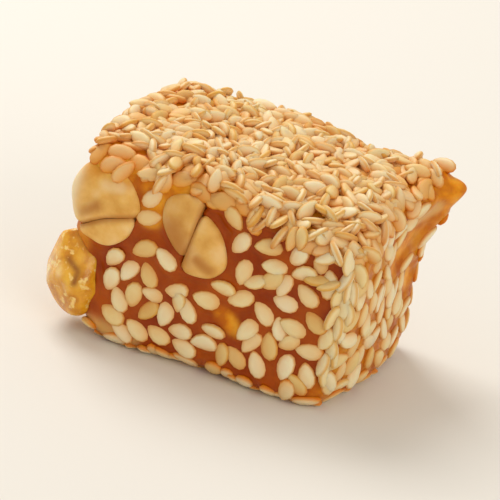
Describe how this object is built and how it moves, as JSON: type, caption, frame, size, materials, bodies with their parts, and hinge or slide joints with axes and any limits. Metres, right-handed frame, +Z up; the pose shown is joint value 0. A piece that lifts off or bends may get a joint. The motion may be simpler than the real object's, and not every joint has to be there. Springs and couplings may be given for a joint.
{
  "type": "nougat",
  "caption": "Hand-cut block of chewy peanut nougat in a thick coat of hulled sesame seeds, with peanut pieces showing at its cut sides.",
  "frame": {"origin": "middle of the underside of the block, on the surface that it rests on", "axes": "+X along the block, -Y towards the cut front that shows two split peanuts, +Z up"},
  "size_m": [0.037, 0.0258, 0.0228],
  "materials": {
    "candy_and_seeds": "sticky caramel-brown candy under pale cream sesame seeds",
    "roasted_peanut": "dry roasted peanut, cut face, faint sheen",
    "glazed_peanut": "peanut under a thin glossy coat of amber candy"
  },
  "bodies": {
    "root": {"nougat_block": "candy_and_seeds", "corner_peanut_upper_half": "roasted_peanut", "corner_peanut_lower_half": "roasted_peanut", "front_peanut_left_half": "roasted_peanut", "front_peanut_right_half": "roasted_peanut", "side_peanut_chunk": "glazed_peanut", "back_peanut_half": "roasted_peanut"}
  },
  "joints": []
}
